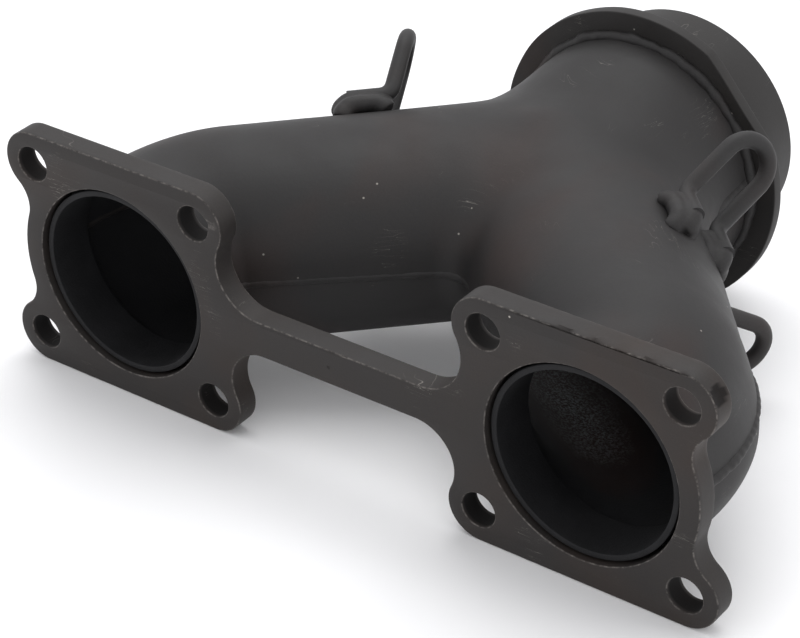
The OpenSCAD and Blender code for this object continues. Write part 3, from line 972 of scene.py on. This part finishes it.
# %% [markdown]
# ## Weld beads
# A weld is a bead that follows a path: a row of small overlapping ripples of uneven size,
# softened by the coat. Geometry Nodes suit it well. The tree takes a line of edges, spaces its
# points evenly, swells the bead's radius with a ripple of a set pitch, pushes its skin in and
# out by a seeded noise, and gives it the material. One tree serves all the welds, each with
# its own sizes.

# %% Node tree of a weld bead
bead = bpy.data.node_groups.new("weld_bead", "GeometryNodeTree")
bead.interface.new_socket("Path", in_out="INPUT", socket_type="NodeSocketGeometry")
for label in ("Radius", "Pitch", "Ripple", "Lump", "Lump size", "Seed"):
    bead.interface.new_socket(label, in_out="INPUT", socket_type="NodeSocketFloat")
bead.interface.new_socket("Coat", in_out="INPUT", socket_type="NodeSocketMaterial")
bead.interface.new_socket("Bead", in_out="OUTPUT", socket_type="NodeSocketGeometry")
given = add(bead, "NodeGroupInput").outputs
line = add(bead, "GeometryNodeMeshToCurve", {"Mesh": given["Path"]}).outputs["Curve"]
line = add(bead, "GeometryNodeResampleCurve",
           {"Curve": line, "Length": 0.0005}, mode="LENGTH").outputs["Curve"]
run = add(bead, "GeometryNodeSplineParameter").outputs["Length"]
turns = add(bead, "ShaderNodeMath", {0: run, 1: given["Pitch"]}, operation="DIVIDE").outputs[0]
phase = add(bead, "ShaderNodeMath", {0: turns, 1: math.pi}, operation="MULTIPLY").outputs[0]
wave = add(bead, "ShaderNodeMath", {0: phase}, operation="SINE").outputs[0]
wave = add(bead, "ShaderNodeMath", {0: wave}, operation="ABSOLUTE").outputs[0]
swing = add(bead, "ShaderNodeTexNoise",
            {"W": run, "Scale": 110.0, "Detail": 1.0}, noise_dimensions="1D").outputs["Fac"]
swing = add(bead, "ShaderNodeMapRange",
            {"Value": swing, "To Min": 0.75, "To Max": 1.2}).outputs["Result"]
swell = add(bead, "ShaderNodeMath",
            {0: wave, 1: given["Ripple"], 2: given["Radius"]}, operation="MULTIPLY_ADD").outputs[0]
swell = add(bead, "ShaderNodeMath", {0: swell, 1: swing}, operation="MULTIPLY").outputs[0]
round_profile = add(bead, "GeometryNodeCurvePrimitiveCircle", {"Resolution": 16, "Radius": 1.0})
skin_mesh = add(bead, "GeometryNodeCurveToMesh",
                {"Curve": line, "Profile Curve": round_profile.outputs["Curve"], "Scale": swell,
                 "Fill Caps": True}).outputs["Mesh"]
spot = add(bead, "GeometryNodeInputPosition").outputs["Position"]
lumps = add(bead, "ShaderNodeTexNoise",
            {"Vector": spot, "W": given["Seed"], "Detail": 3.0}, noise_dimensions="4D")
per_metre = add(bead, "ShaderNodeMath",
                {0: 1.0, 1: given["Lump size"]}, operation="DIVIDE").outputs[0]
bead.links.new(per_metre, lumps.inputs["Scale"])
push = add(bead, "ShaderNodeMath",
           {0: lumps.outputs["Fac"], 1: 0.5}, operation="SUBTRACT").outputs[0]
push = add(bead, "ShaderNodeMath", {0: push, 1: given["Lump"]}, operation="MULTIPLY").outputs[0]
outward = add(bead, "GeometryNodeInputNormal").outputs["Normal"]
offset = add(bead, "ShaderNodeVectorMath",
             {0: outward, "Scale": push}, operation="SCALE").outputs["Vector"]
skin_mesh = add(bead, "GeometryNodeSetPosition",
                {"Geometry": skin_mesh, "Offset": offset}).outputs["Geometry"]
skin_mesh = add(bead, "GeometryNodeSetShadeSmooth", {"Geometry": skin_mesh}).outputs["Geometry"]
skin_mesh = add(bead, "GeometryNodeRealizeInstances", {"Geometry": skin_mesh}).outputs["Geometry"]
skin_mesh = add(bead, "GeometryNodeSetMaterial",
                {"Geometry": skin_mesh, "Material": given["Coat"]}).outputs["Geometry"]
add(bead, "NodeGroupOutput", {"Bead": skin_mesh})
bead_inputs = {item.name: item.identifier for item in bead.interface.items_tree
               if item.in_out == "INPUT"}
print("weld bead inputs:", sorted(bead_inputs))


# %% Lay a bead along a path
def weld(name, node, paths, radius, pitch, ripple, lump, lump_size, seed, closed=False, fuse=False):
    """One weld piece from one or more paths in mm. Sizes are in mm too."""
    form = bmesh.new()
    for path in paths:
        dots = [form.verts.new(Vector(p) * MM) for p in path]
        for first, second in zip(dots, dots[1:]):
            form.edges.new((first, second))
        if closed:
            form.edges.new((dots[-1], dots[0]))
    piece = show(filled(form, name), name)
    tree = piece.modifiers.new("weld", "NODES")
    tree.node_group = bead
    sizes = {"Radius": radius * MM, "Pitch": pitch * MM, "Ripple": ripple * MM, "Lump": lump * MM,
             "Lump size": lump_size * MM, "Seed": float(seed), "Coat": weld_black}
    for label, value in sizes.items():
        tree[bead_inputs[label]] = value
    piece = plain(piece)
    if fuse:
        run_together = piece.modifiers.new("run_together", "REMESH")
        run_together.mode = "VOXEL"
        run_together.voxel_size = 0.35 * MM
        settle = piece.modifiers.new("settle", "SMOOTH")
        settle.factor = 0.6
        settle.iterations = 24
        piece = plain(piece)
        piece.data.materials.clear()
        piece.data.materials.append(weld_black)
    clean(piece, 80)
    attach(piece, "root")
    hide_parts(node)
    return piece


def side_line(way_out, start_y, end_y):
    """Points of the skin in the joint plane, outside (1) or inside (-1) of the right runner."""
    spots = []
    route = [(PORT_X, y, 0.0) for y in np.arange(start_y, BEND_Y, 1.0)]
    route += [(BEND_X + BEND_R * math.cos(a), BEND_Y + BEND_R * math.sin(a), a)
              for a in np.linspace(0, BEND_TURN, 20)]
    diagonal = 0.7071
    route += [(FLARE_X - s * diagonal, FLARE_Y + s * diagonal, BEND_TURN)
              for s in np.arange(1.0, FLARE_L, 1.0)]
    for x, y, facing in route:
        low, high = 0.0, 60.0
        across = np.array([math.cos(facing), math.sin(facing), 0.0]) * way_out
        for _ in range(30):
            mid = (low + high) / 2
            if body_field(np.array([[x, y, 0.0]]) + across * mid)[0] < 0:
                low = mid
            else:
                high = mid
        spot = np.array([x, y, 0.0]) + across * low
        apart = not spots or np.linalg.norm(spot - spots[-1]) > 0.4
        if spot[0] > 0 and spot[1] < end_y and apart:
            spots.append(spot)
    return spots


outer = side_line(1, PLATE_T + 1, RING_Y - 2)
outer += [np.array([COLLECTOR_R - 0.2, y, 0.0])
          for y in np.arange(outer[-1][1] + 2, RING_Y - 1, 2.0)]
inner = side_line(-1, PLATE_T + 1, RING_Y)
print("outer seam", len(outer), "points; inner seam", len(inner), "points")

# %% Seam, ring and flange welds
# The beads sit half sunk in the joint, and stand a little over a millimetre proud.
for way, label in ((-1, "left"), (1, "right")):
    seam = [p * (way, 1, 1) - np.array([way * 0.6, 0.4, 0]) for p in outer]
    weld("seam_bead_" + label, "seam_weld_" + label, [seam], 1.3, 2.6, 0.12, 0.5, 3.0, 3 + way)
    circle = [(way * PORT_X + 26.6 * math.cos(a), PLATE_T + 0.7, 26.6 * math.sin(a))
              for a in np.linspace(0, 2 * math.pi, 120, endpoint=False)]
    weld("flange_bead_" + label, "flange_weld_" + label, [circle], 1.7, 2.4, 0.35, 0.7, 3.5,
         11 + way, True)
crotch_line = [p + np.array([0.45, 0.75, 1.0]) for p in inner]
crotch_line += [p * (-1, 1, 1) for p in reversed(crotch_line)]
weld("seam_bead_crotch", "seam_weld_crotch", [crotch_line], 1.15, 2.6, 0.08, 0.5, 4.0, 21)
circle = [(WELD_LINE_R * math.cos(a), RING_Y - 0.4, OUTLET_Z + WELD_LINE_R * math.sin(a))
          for a in np.linspace(0, 2 * math.pi, 160, endpoint=False)]
weld("ring_bead", "ring_weld", [circle], 1.5, 5.2, 0.2, 2.4, 8.0, 31, True)

# %% Welds over the hooks' feet
# Short beads run along each foot and dive under its ends. They are run together into one mound.
for label, place in hook_frames.items():
    gap = HOOKS[label][6] / 2
    paths = []
    for leg in (-1, 1):
        for offset, sink in ((-2.2, -3.0), (2.2, -3.0), (0.0, -0.6)):
            paths.append([
                place @ Vector((leg * gap + offset, y, sink - 3.2 * ((y + 7.2) / 6.2) ** 4))
                for y in np.linspace(-13.6, -1.4, 26)])
    weld("hook_bead_" + label, "hook_weld_" + label, paths, 2.35, 3.0, 0.1, 0.5, 3.4,
         41 + len(label), False, True)
